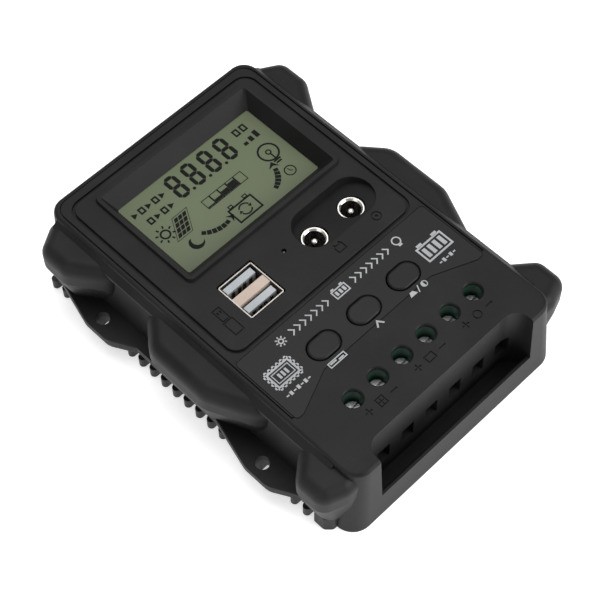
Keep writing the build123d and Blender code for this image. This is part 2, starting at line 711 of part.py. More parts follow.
with BuildPart() as small_capacitors:
    with BuildSketch(Plane.XY.offset(MAIN_BOARD_TOP)):
        with Locations((-2.0, 18.0), (6.0, 18.0), (14.0, 18.0)):
            Circle(3.15)
    extrude(amount=7.7)
    fillet(small_capacitors.faces().sort_by(Axis.Z)[-3:].edges(), 0.4)
save(small_capacitors, "small_capacitors")

INDUCTOR_X, INDUCTOR_Y = 22.0, -17.0
with BuildPart() as inductor_core:
    with BuildSketch(Plane.XZ.offset(-INDUCTOR_Y)):
        with BuildLine():
            Polyline(
                (INDUCTOR_X, 8.8), (INDUCTOR_X + 6, 8.8), (INDUCTOR_X + 6, 10.3), (INDUCTOR_X + 3, 10.3),
                (INDUCTOR_X + 3, 15.3), (INDUCTOR_X + 6, 15.3), (INDUCTOR_X + 6, 16.8), (INDUCTOR_X, 16.8), close=True,
            )
        make_face()
    revolve(axis=Axis((INDUCTOR_X, INDUCTOR_Y, 0), (0, 0, 1)))
save(inductor_core, "inductor_core")

with BuildPart() as inductor_winding:
    with BuildSketch(Plane.XY.offset(10.4)):
        with Locations((INDUCTOR_X, INDUCTOR_Y)):
            Circle(5.5)
            Circle(3.1, mode=Mode.SUBTRACT)
    extrude(amount=4.8)
save(inductor_winding, "inductor_winding")

with BuildPart() as controller_chip:
    with BuildSketch(Plane.XY.offset(MAIN_BOARD_TOP)):
        with Locations((2.0, -10.0)):
            Rectangle(10.0, 10.0)
    extrude(amount=1.4)
save(controller_chip, "controller_chip")

with BuildPart() as driver_chips:
    with BuildSketch(Plane.XY.offset(MAIN_BOARD_TOP)):
        with Locations((-6.0, -24.0), (4.0, -24.0), (24.0, 22.0)):
            Rectangle(5.0, 4.0)
    extrude(amount=1.6)
save(driver_chips, "driver_chips")

with BuildPart() as shunt_resistor:
    with BuildSketch(Plane.XY.offset(MAIN_BOARD_TOP)):
        with Locations((-26.0, 18.0)):
            Rectangle(12.0, 4.0)
    extrude(amount=2.0)
save(shunt_resistor, "shunt_resistor")

with BuildPart() as board_connector:
    with BuildSketch(Plane.XY.offset(MAIN_BOARD_TOP)):
        with Locations((-4.0, -16.5)):
            Rectangle(20.3, 2.5)
    extrude(amount=DISPLAY_BOARD_Z - MAIN_BOARD_TOP)
save(board_connector, "board_connector")

with BuildPart() as status_led:
    with BuildSketch(Plane.XY.offset(DISPLAY_BOARD_TOP)):
        with Locations(LED_CENTRE):
            Circle(1.5)
    extrude(amount=6.0)
    with BuildSketch(Plane.XY.offset(DISPLAY_BOARD_TOP + 6.0)):
        with Locations(LED_CENTRE):
            Circle(0.65)
    extrude(amount=3.0)
    fillet(status_led.faces().sort_by(Axis.Z)[-1].edges(), 0.4)
save(status_led, "status_led")

# ---- double USB socket -----------------------------------------------------------------------------------------
USB_TOP = 29.9
USB_INNER = (USB_OUTER[0] - 0.7, USB_OUTER[1] - 0.7)
USB_FLOOR = 14.0
TONGUE_SIZE = (11.1, 2.3)
PORT_HEIGHT = 5.2
DIVIDER_HEIGHT = USB_INNER[1] - 2 * PORT_HEIGHT
tongue_ys = [USB_CENTRE[1] + DIVIDER_HEIGHT / 2 + 3.55, USB_CENTRE[1] - DIVIDER_HEIGHT / 2 - 2.05]

with BuildPart() as usb_shell:
    with BuildSketch(Plane.XY.offset(MAIN_BOARD_TOP)):
        with Locations(USB_CENTRE):
            RectangleRounded(*USB_OUTER, 0.6)
            Rectangle(*USB_INNER, mode=Mode.SUBTRACT)
    extrude(amount=USB_TOP - MAIN_BOARD_TOP)
save(usb_shell, "usb_shell")

with BuildPart() as usb_insulator:
    with BuildSketch(Plane.XY.offset(MAIN_BOARD_TOP)):
        with Locations(USB_CENTRE):
            Rectangle(*USB_INNER)
    extrude(amount=USB_FLOOR - MAIN_BOARD_TOP)
    with BuildSketch(Plane.XY.offset(USB_FLOOR)):
        with Locations(*[(USB_CENTRE[0], y) for y in tongue_ys]):
            Rectangle(*TONGUE_SIZE)
    extrude(amount=USB_TOP - 0.9 - USB_FLOOR)
save(usb_insulator, "usb_insulator")

with BuildPart() as usb_divider:
    with BuildSketch(Plane.XY.offset(USB_FLOOR)):
        with Locations(USB_CENTRE):
            Rectangle(USB_INNER[0] - 0.2, DIVIDER_HEIGHT)
    extrude(amount=USB_TOP - 0.3 - USB_FLOOR)
save(usb_divider, "usb_divider")

with BuildPart() as usb_contacts:
    for y in tongue_ys:
        with BuildSketch(Plane.XY.offset(USB_FLOOR)):
            with Locations(*[(USB_CENTRE[0] + dx, y - TONGUE_SIZE[1] / 2 - 0.15) for dx in (-3.5, -1.0, 1.0, 3.5)]):
                Rectangle(1.0, 0.3)
        extrude(amount=USB_TOP - 1.6 - USB_FLOOR)
save(usb_contacts, "usb_contacts")

# ---- two barrel jacks ----------------------------------------------------------------------------------------------
JACK_TOP = 28.6
JACK_BORE_FLOOR = 16.0
with BuildPart() as jack_housings:
    with BuildSketch(Plane.XY.offset(MAIN_BOARD_TOP)):
        with Locations(*[(x, JACK_Y) for x in JACKS_X]):
            Rectangle(10.0, 11.0)
    extrude(amount=24.4 - MAIN_BOARD_TOP)
    with BuildSketch(Plane.XY.offset(JACK_BORE_FLOOR)):
        with Locations(*[(x, JACK_Y) for x in JACKS_X]):
            Circle(4.07)
    extrude(amount=12.0, mode=Mode.SUBTRACT)
save(jack_housings, "jack_housings")

with BuildPart() as jack_sleeves:
    with BuildSketch(Plane.XY.offset(JACK_BORE_FLOOR)):
        with Locations(*[(x, JACK_Y) for x in JACKS_X]):
            Circle(4.03)
            Circle(3.15, mode=Mode.SUBTRACT)
    extrude(amount=JACK_TOP - JACK_BORE_FLOOR)
    mouths = jack_sleeves.faces().sort_by(Axis.Z)[-2:]
    chamfer([edge for mouth in mouths for edge in mouth.inner_wires().edges()], 0.5)
save(jack_sleeves, "jack_sleeves")

with BuildPart() as jack_pins:
    with BuildSketch(Plane.XY.offset(JACK_BORE_FLOOR)):
        with Locations(*[(x, JACK_Y) for x in JACKS_X]):
            Circle(1.05)
    extrude(amount=JACK_TOP - 1.0 - JACK_BORE_FLOOR)
    fillet(jack_pins.faces().sort_by(Axis.Z)[-2:].edges(), 0.7)
save(jack_pins, "jack_pins")

# ---- terminal block with rising clamps ----------------------------------------------------------------------------------
with BuildPart() as terminal_block:
    with BuildSketch(Plane.XY.offset(MAIN_BOARD_TOP)):
        with Locations((TERMINAL_CENTRE_X, (BLOCK_NEAR + BLOCK_FAR) / 2)):
            Rectangle(TERMINAL_COUNT * TERMINAL_PITCH + 2.0, BLOCK_FAR - BLOCK_NEAR)
    extrude(amount=BLOCK_TOP - MAIN_BOARD_TOP)
    places = [(x, TERMINAL_Y) for x in TERMINALS_X]
    with BuildSketch(Plane.XY.offset(SCREW_SEAT)):
        with Locations(*places):
            Circle(SCREW_HOLE_RADIUS)
    extrude(amount=10.0, mode=Mode.SUBTRACT)
    with BuildSketch(Plane.XY.offset(CAVITY_TOP - 1.0)):
        with Locations(*places):
            Circle(SHAFT_RADIUS + 0.3)
    extrude(amount=3.0, mode=Mode.SUBTRACT)
    with BuildSketch(Plane.XY.offset(CAGE_LOW - 0.1)):
        with Locations(*places):
            Rectangle(CAGE_SIZE[0] + 2 * CAGE_CLEARANCE, CAGE_SIZE[1] + 2 * CAGE_CLEARANCE)
    extrude(amount=CAVITY_TOP - CAGE_LOW + 0.1, mode=Mode.SUBTRACT)
    with BuildSketch(Plane.XZ.offset(-TERMINAL_Y)):
        with Locations(*[(x, (CAGE_LOW + CAGE_FLOOR + CONTACT_Z) / 2) for x in TERMINALS_X]):
            Rectangle(CAGE_OPENING_WIDTH - 0.2, CONTACT_Z - CAGE_LOW - CAGE_FLOOR)
    extrude(amount=15.0, mode=Mode.SUBTRACT)
    with BuildSketch(Plane.XZ.offset(-TERMINAL_Y)):
        with Locations(*[(x, CONTACT_Z + CONTACT_THICKNESS / 2) for x in TERMINALS_X]):
            Rectangle(CONTACT_WIDTH + 0.1, CONTACT_THICKNESS + 0.1)
    extrude(amount=-15.0, mode=Mode.SUBTRACT)
save(terminal_block, "terminal_block")

with BuildPart() as terminal_contacts:
    for x in TERMINALS_X:
        with BuildSketch(Plane.YZ.offset(x - CONTACT_WIDTH / 2)):
            with BuildLine():
                Polyline(
                    (-48.8, CONTACT_Z), (-38.4, CONTACT_Z), (-38.4, MAIN_BOARD_TOP), (-37.5, MAIN_BOARD_TOP),
                    (-37.5, CONTACT_Z + CONTACT_THICKNESS), (-48.8, CONTACT_Z + CONTACT_THICKNESS), close=True,
                )
            make_face()
        extrude(amount=CONTACT_WIDTH)
save(terminal_contacts, "terminal_contacts")

CAGE_HEIGHT = CAGE_FLOOR + CAGE_OPENING + CAGE_ROOF
for number, x in enumerate(TERMINALS_X, start=1):
    with BuildPart() as cage:
        with BuildSketch(Plane.XY.offset(CAGE_LOW)):
            with Locations((x, TERMINAL_Y)):
                Rectangle(*CAGE_SIZE)
        extrude(amount=CAGE_HEIGHT)
        with BuildSketch(Plane.XZ.offset(-TERMINAL_Y)):
            with Locations((x, CAGE_LOW + CAGE_FLOOR + CAGE_OPENING / 2)):
                Rectangle(CAGE_OPENING_WIDTH, CAGE_OPENING)
        extrude(amount=10.0, both=True, mode=Mode.SUBTRACT)
        with BuildSketch(Plane.XY.offset(CAGE_LOW + CAGE_FLOOR + CAGE_OPENING / 2)):
            with Locations((x, TERMINAL_Y)):
                Circle(SHAFT_RADIUS + 0.05)
        extrude(amount=10.0, mode=Mode.SUBTRACT)
    save(cage, f"clamp_cage_{number}")

    with BuildPart() as clamp_screw:
        with BuildSketch(Plane.XY.offset(CONTACT_Z + CONTACT_THICKNESS + 0.2)):
            with Locations((x, TERMINAL_Y)):
                Circle(SHAFT_RADIUS)
        extrude(amount=SCREW_SEAT - CONTACT_Z - CONTACT_THICKNESS - 0.2)
        with BuildSketch(Plane.XY.offset(SCREW_SEAT)):
            with Locations((x, TERMINAL_Y)):
                Circle(2.55)
        extrude(amount=SCREW_HEAD_TOP - SCREW_SEAT)
        chamfer(clamp_screw.faces().sort_by(Axis.Z)[-1].edges(), 0.3)
        with BuildSketch(Plane.XY.offset(SCREW_HEAD_TOP)):
            with Locations((x, TERMINAL_Y)):
                Rectangle(6.0, 0.9)
        extrude(amount=-0.9, mode=Mode.SUBTRACT)
    save(clamp_screw, f"clamp_screw_{number}")
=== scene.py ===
import math

import bpy
from mathutils import Matrix, Vector


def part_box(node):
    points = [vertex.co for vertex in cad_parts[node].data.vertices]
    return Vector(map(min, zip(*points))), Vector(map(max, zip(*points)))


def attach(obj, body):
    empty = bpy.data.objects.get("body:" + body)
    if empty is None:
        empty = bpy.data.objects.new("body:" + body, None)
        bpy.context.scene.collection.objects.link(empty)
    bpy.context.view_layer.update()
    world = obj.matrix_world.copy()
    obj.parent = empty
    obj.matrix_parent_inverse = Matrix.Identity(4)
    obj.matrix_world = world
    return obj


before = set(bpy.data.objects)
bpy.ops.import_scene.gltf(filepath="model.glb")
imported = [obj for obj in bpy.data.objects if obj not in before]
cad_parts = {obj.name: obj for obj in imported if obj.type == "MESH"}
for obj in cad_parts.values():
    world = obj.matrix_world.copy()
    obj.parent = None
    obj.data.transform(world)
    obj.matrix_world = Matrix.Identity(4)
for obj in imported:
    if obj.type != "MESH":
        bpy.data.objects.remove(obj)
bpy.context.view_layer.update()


# ---- front cover -----------------------------------------------------------------------------
# One injection moulded shell of black ABS with a fine spark-eroded grain. Dust and handling leave
# paler specks and broad, faint clouds in its colour and sheen.
MM = 0.001
SHEEN_SPREAD = 0.12


def fill(node, values):
    """Set a node's inputs by their names."""
    for socket, value in values.items():
        node.inputs[socket].default_value = value


def new_finish(name, base, roughness, metallic=0.0):
    """A fresh material with one Principled shader. Returns the material, its tree and the shader."""
    finish = bpy.data.materials.new(name)
    finish.use_nodes = True
    tree = finish.node_tree
    shader = tree.nodes["Principled BSDF"]
    fill(shader, {"Base Color": (*base, 1.0), "Roughness": roughness, "Metallic": metallic})
    return finish, tree, shader


def moulded_grain_group():
    """Fine specks and broad mottling for plastics and castings, as colour, roughness and height."""
    group = bpy.data.node_groups.new("moulded grain", "ShaderNodeTree")
    sockets = group.interface
    for name, kind, value in (
        ("Colour", "NodeSocketColor", (0.02, 0.02, 0.02, 1.0)),
        ("Worn colour", "NodeSocketColor", (0.04, 0.04, 0.04, 1.0)),
        ("Grain per metre", "NodeSocketFloat", 2500.0),
        ("Mottle per metre", "NodeSocketFloat", 60.0),
        ("Roughness", "NodeSocketFloat", 0.5),
        ("Roughness spread", "NodeSocketFloat", SHEEN_SPREAD),
    ):
        made = sockets.new_socket(name=name, in_out="INPUT", socket_type=kind)
        made.default_value = value
    for name, kind in (
        ("Colour", "NodeSocketColor"),
        ("Roughness", "NodeSocketFloat"),
        ("Height", "NodeSocketFloat"),
    ):
        sockets.new_socket(name=name, in_out="OUTPUT", socket_type=kind)

    nodes, links = group.nodes, group.links
    given = nodes.new("NodeGroupInput")
    result = nodes.new("NodeGroupOutput")
    place = nodes.new("ShaderNodeTexCoord")

    grain = nodes.new("ShaderNodeTexNoise")
    fill(grain, {"Detail": 3.0, "Roughness": 0.6})
    links.new(place.outputs["Object"], grain.inputs["Vector"])
    links.new(given.outputs["Grain per metre"], grain.inputs["Scale"])

    mottle = nodes.new("ShaderNodeTexNoise")
    fill(mottle, {"Detail": 4.0})
    links.new(place.outputs["Object"], mottle.inputs["Vector"])
    links.new(given.outputs["Mottle per metre"], mottle.inputs["Scale"])

    clouds = nodes.new("ShaderNodeMapRange")
    fill(clouds, {"From Min": 0.42, "From Max": 0.72})
    links.new(mottle.outputs["Fac"], clouds.inputs["Value"])

    specks = nodes.new("ShaderNodeMapRange")
    fill(specks, {"From Min": 0.5, "From Max": 0.8, "To Max": 0.5})
    links.new(grain.outputs["Fac"], specks.inputs["Value"])

    wear = nodes.new("ShaderNodeMath")
    wear.operation = "ADD"
    wear.use_clamp = True
    links.new(clouds.outputs["Result"], wear.inputs[0])
    links.new(specks.outputs["Result"], wear.inputs[1])

    colour = nodes.new("ShaderNodeMix")
    colour.data_type = "RGBA"
    links.new(wear.outputs["Value"], colour.inputs["Factor"])
    links.new(given.outputs["Colour"], colour.inputs["A"])
    links.new(given.outputs["Worn colour"], colour.inputs["B"])
    links.new(colour.outputs["Result"], result.inputs["Colour"])

    sheen = nodes.new("ShaderNodeMath")
    sheen.operation = "MULTIPLY_ADD"
    links.new(mottle.outputs["Fac"], sheen.inputs[0])
    links.new(given.outputs["Roughness spread"], sheen.inputs[1])
    links.new(given.outputs["Roughness"], sheen.inputs[2])
    links.new(sheen.outputs["Value"], result.inputs["Roughness"])
    links.new(grain.outputs["Fac"], result.inputs["Height"])
    return group


moulded_grain = moulded_grain_group()


def moulded(name, base, worn, roughness, grain=2500.0, depth=0.02, mottle=60.0, gloss=0.5):
    """A moulded or cast finish on the grain group. Depth is the grain's height in millimetres."""
    finish, tree, shader = new_finish(name, base, roughness)
    fill(shader, {"Specular IOR Level": gloss})
    group = tree.nodes.new("ShaderNodeGroup")
    group.node_tree = moulded_grain
    fill(group, {
        "Colour": (*base, 1.0),
        "Worn colour": (*worn, 1.0),
        "Grain per metre": grain,
        "Mottle per metre": mottle,
        "Roughness": roughness - SHEEN_SPREAD / 2,
        "Roughness spread": SHEEN_SPREAD,
    })
    bump = tree.nodes.new("ShaderNodeBump")
    fill(bump, {"Strength": 1.0, "Distance": depth * MM})
    tree.links.new(group.outputs["Colour"], shader.inputs["Base Color"])
    tree.links.new(group.outputs["Roughness"], shader.inputs["Roughness"])
    tree.links.new(group.outputs["Height"], bump.inputs["Height"])
    tree.links.new(bump.outputs["Normal"], shader.inputs["Normal"])
    return finish


def dress(finish, *names):
    """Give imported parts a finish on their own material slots."""
    for name in names:
        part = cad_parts[name]
        if not part.material_slots:
            part.data.materials.append(finish)
        for holder in part.material_slots:
            holder.material = finish


case_black = moulded(
    "grained black case", (0.0074, 0.0069, 0.0072), (0.0138, 0.0130, 0.0134), 0.50, depth=0.03, gloss=0.2
)
dress(case_black, "front_cover")

# ---- keys and switches -------------------------------------------------------------------------
# Three soft-touch caps of the same black as the case, a shade warmer and finer in grain. They
# push the plungers of dark switches that are soldered to the display board.
key_black = moulded(
    "soft key black", (0.0085, 0.0080, 0.0084), (0.015, 0.0145, 0.015), 0.47,
    grain=3200.0, depth=0.018, gloss=0.22,
)
dress(key_black, "button_cap_left", "button_cap_middle", "button_cap_right")
component_grey = moulded("dark component plastic", (0.03, 0.03, 0.031), (0.045, 0.045, 0.045), 0.4)
dress(component_grey, "switch_bodies", "switch_plunger_left", "switch_plunger_middle", "switch_plunger_right")

# ---- display -----------------------------------------------------------------------------------
# A reflective liquid crystal panel with a grey green ground, faintly clouded, in a white holder
# with a light behind and striped rubber strips that join it to the board. Its near-black segments
# are thin prints on the top of the panel.
holder_white = moulded("display holder", (0.62, 0.62, 0.58), (0.72, 0.72, 0.68), 0.45, depth=0.01)
dress(holder_white, "lcd_holder", "lcd_backlight")
striped_rubber = moulded(
    "striped contact rubber", (0.06, 0.08, 0.2), (0.3, 0.32, 0.4), 0.6, grain=3000.0, depth=0.01
)
dress(striped_rubber, "zebra_strips")

panel_green, panel_tree, panel_shader = new_finish("liquid crystal ground", (0.108, 0.132, 0.073), 0.4)
fill(panel_shader, {"Specular IOR Level": 0.25, "Coat Weight": 0.08, "Coat Roughness": 0.12})
panel_place = panel_tree.nodes.new("ShaderNodeTexCoord")
panel_clouds = panel_tree.nodes.new("ShaderNodeTexNoise")
fill(panel_clouds, {"Scale": 45.0, "Detail": 3.0})
panel_tone = panel_tree.nodes.new("ShaderNodeMix")
panel_tone.data_type = "RGBA"
fill(panel_tone, {"A": (0.098, 0.121, 0.066, 1.0), "B": (0.118, 0.143, 0.080, 1.0)})
panel_tree.links.new(panel_place.outputs["Object"], panel_clouds.inputs["Vector"])
panel_tree.links.new(panel_clouds.outputs["Fac"], panel_tone.inputs["Factor"])
panel_tree.links.new(panel_tone.outputs["Result"], panel_shader.inputs["Base Color"])
dress(panel_green, "lcd_glass")


def round_path(x, y, radius, start, end, steps):
    """Points along a circle round x, y, from start to end degrees."""
    path = []
    for i in range(steps + 1):
        turn = math.radians(start + (end - start) * i / steps)
        path.append((x + radius * math.cos(turn), y + radius * math.sin(turn)))
    return path


class Pictogram:
    """Flat printed marks of strokes, bars, rings and polygons, in millimetres round a middle."""

    def __init__(self, name, middle=(0.0, 0.0)):
        self.name = name
        self.middle = middle
        self.points = []
        self.faces = []

    def polygon(self, corners):
        """One filled outline, corners in order."""
        following = list(corners[1:]) + [corners[0]]
        area = sum(a[0] * b[1] - b[0] * a[1] for a, b in zip(corners, following))
        ordered = list(corners) if area > 0 else list(reversed(corners))
        start = len(self.points)
        self.points += ordered
        self.faces.append(tuple(range(start, start + len(ordered))))

    def bar(self, x, y, width, height, turn=0.0):
        """A filled bar centred on x, y and turned by degrees."""
        c, s = math.cos(math.radians(turn)), math.sin(math.radians(turn))
        corners = []
        for side_x, side_y in ((-1, -1), (1, -1), (1, 1), (-1, 1)):
            u, v = side_x * width / 2, side_y * height / 2
            corners.append((x + u * c - v * s, y + u * s + v * c))
        self.polygon(corners)

    def stroke(self, path, width, closed=False):
        """A line of even width through the points, with its corners mitred."""
        count = len(path)
        sharpest = 0.35
        sides = []
        for i, (x, y) in enumerate(path):
            before = path[i - 1] if i or closed else None
            after = path[(i + 1) % count] if i + 1 < count or closed else None
            ways = []
            if before is not None:
                ways.append(Vector((x - before[0], y - before[1])).normalized())
            if after is not None:
                ways.append(Vector((after[0] - x, after[1] - y)).normalized())
            way = (ways[0] + ways[-1]).normalized()
            reach = width / 2 / max(sharpest, abs(way.dot(ways[-1])))
            across = Vector((-way.y, way.x)) * reach
            sides.append(((x + across.x, y + across.y), (x - across.x, y - across.y)))
        spans = count if closed else count - 1
        for i in range(spans):
            a, b = sides[i], sides[(i + 1) % count]
            self.polygon([a[1], b[1], b[0], a[0]])

    def outline(self, x, y, width, height, line):
        """A hollow rectangle."""
        u, v = (width - line) / 2, (height - line) / 2
        self.stroke([(x - u, y - v), (x + u, y - v), (x + u, y + v), (x - u, y + v)], line, closed=True)

    def arc(self, x, y, radius, start, end, line, steps=24):
        """A curved stroke from start to end degrees."""
        self.stroke(round_path(x, y, radius, start, end, steps), line)

    def ring(self, x, y, radius, line, steps=36):
        """A full circle drawn as a line."""
        self.stroke(round_path(x, y, radius, 0, 360, steps)[:-1], line, closed=True)

    def disc(self, x, y, radius, steps=28):
        """A filled circle."""
        self.polygon(round_path(x, y, radius, 0, 360, steps)[:-1])

    def print_on(self, height, thickness, finish, body):
        """Raise the marks from height by thickness, and fix them to a body."""
        count = len(self.points)
        placed = [((self.middle[0] + x) * MM, (self.middle[1] + y) * MM) for x, y in self.points]
        low = [(x, y, height * MM) for x, y in placed]
        high = [(x, y, (height + thickness) * MM) for x, y in placed]
        solid = []
        for face in self.faces:
            solid.append(tuple(i + count for i in face))
            solid.append(tuple(reversed(face)))
            for a, b in zip(face, face[1:] + face[:1]):
                solid.append((a, b, b + count, a + count))
        mesh = bpy.data.meshes.new(self.name)
        mesh.from_pydata(low + high, [], solid)
        mesh.materials.append(finish)
        piece = bpy.data.objects.new(self.name, mesh)
        bpy.context.scene.collection.objects.link(piece)
        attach(piece, body)


glass_low, glass_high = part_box("lcd_glass")
GLASS_FACE = glass_high.z / MM
GLASS_MIDDLE = ((glass_low.x + glass_high.x) / 2 / MM, (glass_low.y + glass_high.y) / 2 / MM)
SEGMENT_THICKNESS = 0.04

segments = Pictogram("display_segments", GLASS_MIDDLE)

# Four seven-segment digits with points between them.
DIGIT_WIDTH, DIGIT_HEIGHT, DIGIT_LINE = 4.5, 9.6, 1.3
DIGIT_STEP = 6.75
DIGIT_GAP = 0.07
DIGITS_LEFT, DIGITS_BOTTOM = -10.6, 5.0
POINT_RADIUS = 0.55


def seven_segments(mark, left, bottom):
    """All seven bars of one digit, each with pointed ends and a hairline gap to the next."""
    half = DIGIT_LINE / 2
    middle = DIGIT_HEIGHT / 2

    def across(y):
        x0, x1 = left + half + DIGIT_GAP, left + DIGIT_WIDTH - half - DIGIT_GAP
        mark.polygon([
            (x0, y), (x0 + half, y - half), (x1 - half, y - half),
            (x1, y), (x1 - half, y + half), (x0 + half, y + half),
        ])

    def upright(x, y0, y1):
        y0, y1 = y0 + DIGIT_GAP, y1 - DIGIT_GAP
        mark.polygon([
            (x, y0), (x + half, y0 + half), (x + half, y1 - half),
            (x, y1), (x - half, y1 - half), (x - half, y0 + half),
        ])

    for y in (bottom + half, bottom + middle, bottom + DIGIT_HEIGHT - half):
        across(y)
    for x in (left + half, left + DIGIT_WIDTH - half):
        upright(x, bottom + half, bottom + middle)
        upright(x, bottom + middle, bottom + DIGIT_HEIGHT - half)


for digit in range(4):
    seven_segments(segments, DIGITS_LEFT + digit * DIGIT_STEP, DIGITS_BOTTOM)
for digit in range(3):
    point_x = DIGITS_LEFT + digit * DIGIT_STEP + DIGIT_WIDTH + 1.2
    segments.disc(point_x, DIGITS_BOTTOM + 0.6, POINT_RADIUS)

# Rows of small frames and arrows left of the digits, and frames and rising bars right of them.
LEGEND_LINE = 0.6
LEGEND_STEP = 2.75
LEGEND_ROWS = ((-24.6, 10.8, 5), (-22.4, 6.0, 4))  # left, height and number of marks
for row, (left, y, count) in enumerate(LEGEND_ROWS):
    for i in range(count):
        x = left + i * LEGEND_STEP
        if (i + row) % 2:
            segments.outline(x, y, 2.1, 2.5, LEGEND_LINE)
        else:
            segments.polygon([(x - 0.9, y - 1.1), (x + 1.0, y), (x - 0.9, y + 1.1)])
for i in range(2):
    segments.outline(18.6 + i * 2.9, 11.8, 2.1, 2.8, LEGEND_LINE)
BAR_LEFT, BAR_STEP, BAR_WIDTH = 18.0, 2.4, 1.5
BAR_FOOT, BAR_LOW, BAR_RISE = 6.0, 1.2, 0.8
for i in range(3):
    bar_height = BAR_LOW + BAR_RISE * i
    segments.bar(BAR_LEFT + i * BAR_STEP, BAR_FOOT + bar_height / 2, BAR_WIDTH, bar_height)

# Sun and solar panel.
SUN = (-22.7, -0.7)
SUN_RAYS, RAY_REACH = 8, 2.75
segments.ring(*SUN, 1.5, 0.6)
for i in range(SUN_RAYS):
    turn = 360 / SUN_RAYS * (i + 0.5)
    ray_x = SUN[0] + RAY_REACH * math.cos(math.radians(turn))
    ray_y = SUN[1] + RAY_REACH * math.sin(math.radians(turn))
    segments.bar(ray_x, ray_y, 1.0, 0.55, turn)

PANEL_CORNER = (-21.1, -4.9)
PANEL_WIDTH, PANEL_RISE, PANEL_LEAN = 5.0, 6.6, 3.8
PANEL_COLUMNS, PANEL_ROWS, PANEL_GAP = 3, 4, 0.08


def leaning(u, v):
    """A place on the leaning solar panel, from 0 to 1 across and up."""
    return (PANEL_CORNER[0] + PANEL_WIDTH * u + PANEL_LEAN * v, PANEL_CORNER[1] + PANEL_RISE * v)


def leaning_frame(u0, v0, u1, v1):
    """The four corners of a leaning rectangle."""
    return [leaning(u0, v0), leaning(u1, v0), leaning(u1, v1), leaning(u0, v1)]


for column in range(PANEL_COLUMNS):
    for row in range(PANEL_ROWS):
        segments.polygon(leaning_frame(
            (column + PANEL_GAP) / PANEL_COLUMNS,
            (row + PANEL_GAP) / PANEL_ROWS,
            (column + 1 - PANEL_GAP) / PANEL_COLUMNS,
            (row + 1 - PANEL_GAP) / PANEL_ROWS,
        ))
segments.stroke(leaning_frame(-0.1, -0.07, 1.1, 1.07), 0.18, closed=True)

# Crescent moon: a large arc and a smaller one set off from it.
MOON = (-18.0, -9.4)
MOON_STEPS = 18
outer = round_path(*MOON, 2.5, 120, 340, MOON_STEPS)
inner = round_path(MOON[0] + 0.85, MOON[1] + 0.6, 2.0, 128, 332, MOON_STEPS)
for i in range(MOON_STEPS):
    segments.polygon([outer[i], outer[i + 1], inner[i + 1], inner[i]])


def swept_arrow(mark, centre, radius, start, end, width, tip):
    """A curved arrow that swells in the middle, drawn in blocks, with a barbed head."""
    blocks, block_fill = 6, 0.86
    for i in range(blocks):
        block_start = start + (end - start) * i / blocks
        block_end = start + (end - start) * (i + block_fill) / blocks
        swell = 0.35 + 0.65 * math.sin(math.pi * (0.25 + 0.6 * i / blocks))
        mark.arc(*centre, radius, block_start, block_end, width * swell, steps=3)
    turn = math.radians(end)
    way = 1 if end > start else -1
    head = Vector((centre[0] + radius * math.cos(turn), centre[1] + radius * math.sin(turn)))
    along = Vector((-math.sin(turn), math.cos(turn))) * way
    across = Vector((math.cos(turn), math.sin(turn)))
    base = head + along * 0.2
    point = base + along * tip
    barb = across * tip * 0.75
    notch = base + along * 0.35 * tip
    mark.polygon([tuple(point), tuple(base + barb), tuple(notch), tuple(base - barb)])


swept_arrow(segments, (-8.0, -1.2), 9.6, 225, 285, 1.7, 2.2)
swept_arrow(segments, (9.6, -4.2), 8.3, 290, 345, 1.9, 2.4)

# Charge staircase: five cells, of which four are filled in rising steps.
STAIR_LEFT, STAIR_BOTTOM = -7.2, -3.4
STAIR_CELL, STAIR_HEIGHT, STAIR_CELLS = 3.3, 3.9, 5
for i in range(STAIR_CELLS):
    x = STAIR_LEFT + (i + 0.5) * STAIR_CELL
    segments.outline(x, STAIR_BOTTOM + STAIR_HEIGHT / 2, STAIR_CELL, STAIR_HEIGHT, 0.26)
    filled = 0.75 * (i + 0.6)
    if i < STAIR_CELLS - 1:
        segments.bar(x, STAIR_BOTTOM + 0.35 + filled / 2, STAIR_CELL - 0.6, filled)

# Battery with a charging loop of two arcs and two arrowheads inside.
CELL = (0.8, -10.9)
segments.outline(*CELL, 9.6, 6.2, 0.6)
for post in (-2.9, 2.9):
    segments.outline(CELL[0] + post, CELL[1] + 3.6, 1.7, 1.3, 0.35)
segments.arc(*CELL, 2.0, 20, 150, 0.5)
segments.arc(*CELL, 2.0, 200, 330, 0.5)
for side in (1, -1):
    segments.polygon([
        (CELL[0] + side * 1.2, CELL[1] + side * 0.4),
        (CELL[0] + side * 2.7, CELL[1] + side * 0.5),
        (CELL[0] + side * 1.9, CELL[1] - side * 0.6),
    ])

# Lamp with its cap below, and a small clock.
LAMP = (20.5, -0.6)
segments.ring(*LAMP, 3.3, 0.62)
segments.ring(*LAMP, 0.8, 0.45)
segments.stroke([(LAMP[0] + 0.1, LAMP[1] - 0.7), (LAMP[0] + 0.1, LAMP[1] - 3.1)], 0.5)
segments.bar(LAMP[0], LAMP[1] - 3.9, 2.8, 0.6)
segments.bar(LAMP[0], LAMP[1] - 4.8, 2.1, 0.6)
CLOCK = (20.4, -10.3)
segments.ring(*CLOCK, 1.8, 0.4)
segments.stroke([(CLOCK[0] - 0.2, CLOCK[1] + 1.1), CLOCK, (CLOCK[0] + 0.7, CLOCK[1] - 0.6)], 0.3)

segment_ink = moulded(
    "liquid crystal segments", (0.0035, 0.0045, 0.0035), (0.005, 0.006, 0.005), 0.45, depth=0.0, gloss=0.1
)
segments.print_on(GLASS_FACE, SEGMENT_THICKNESS, segment_ink, "housing")


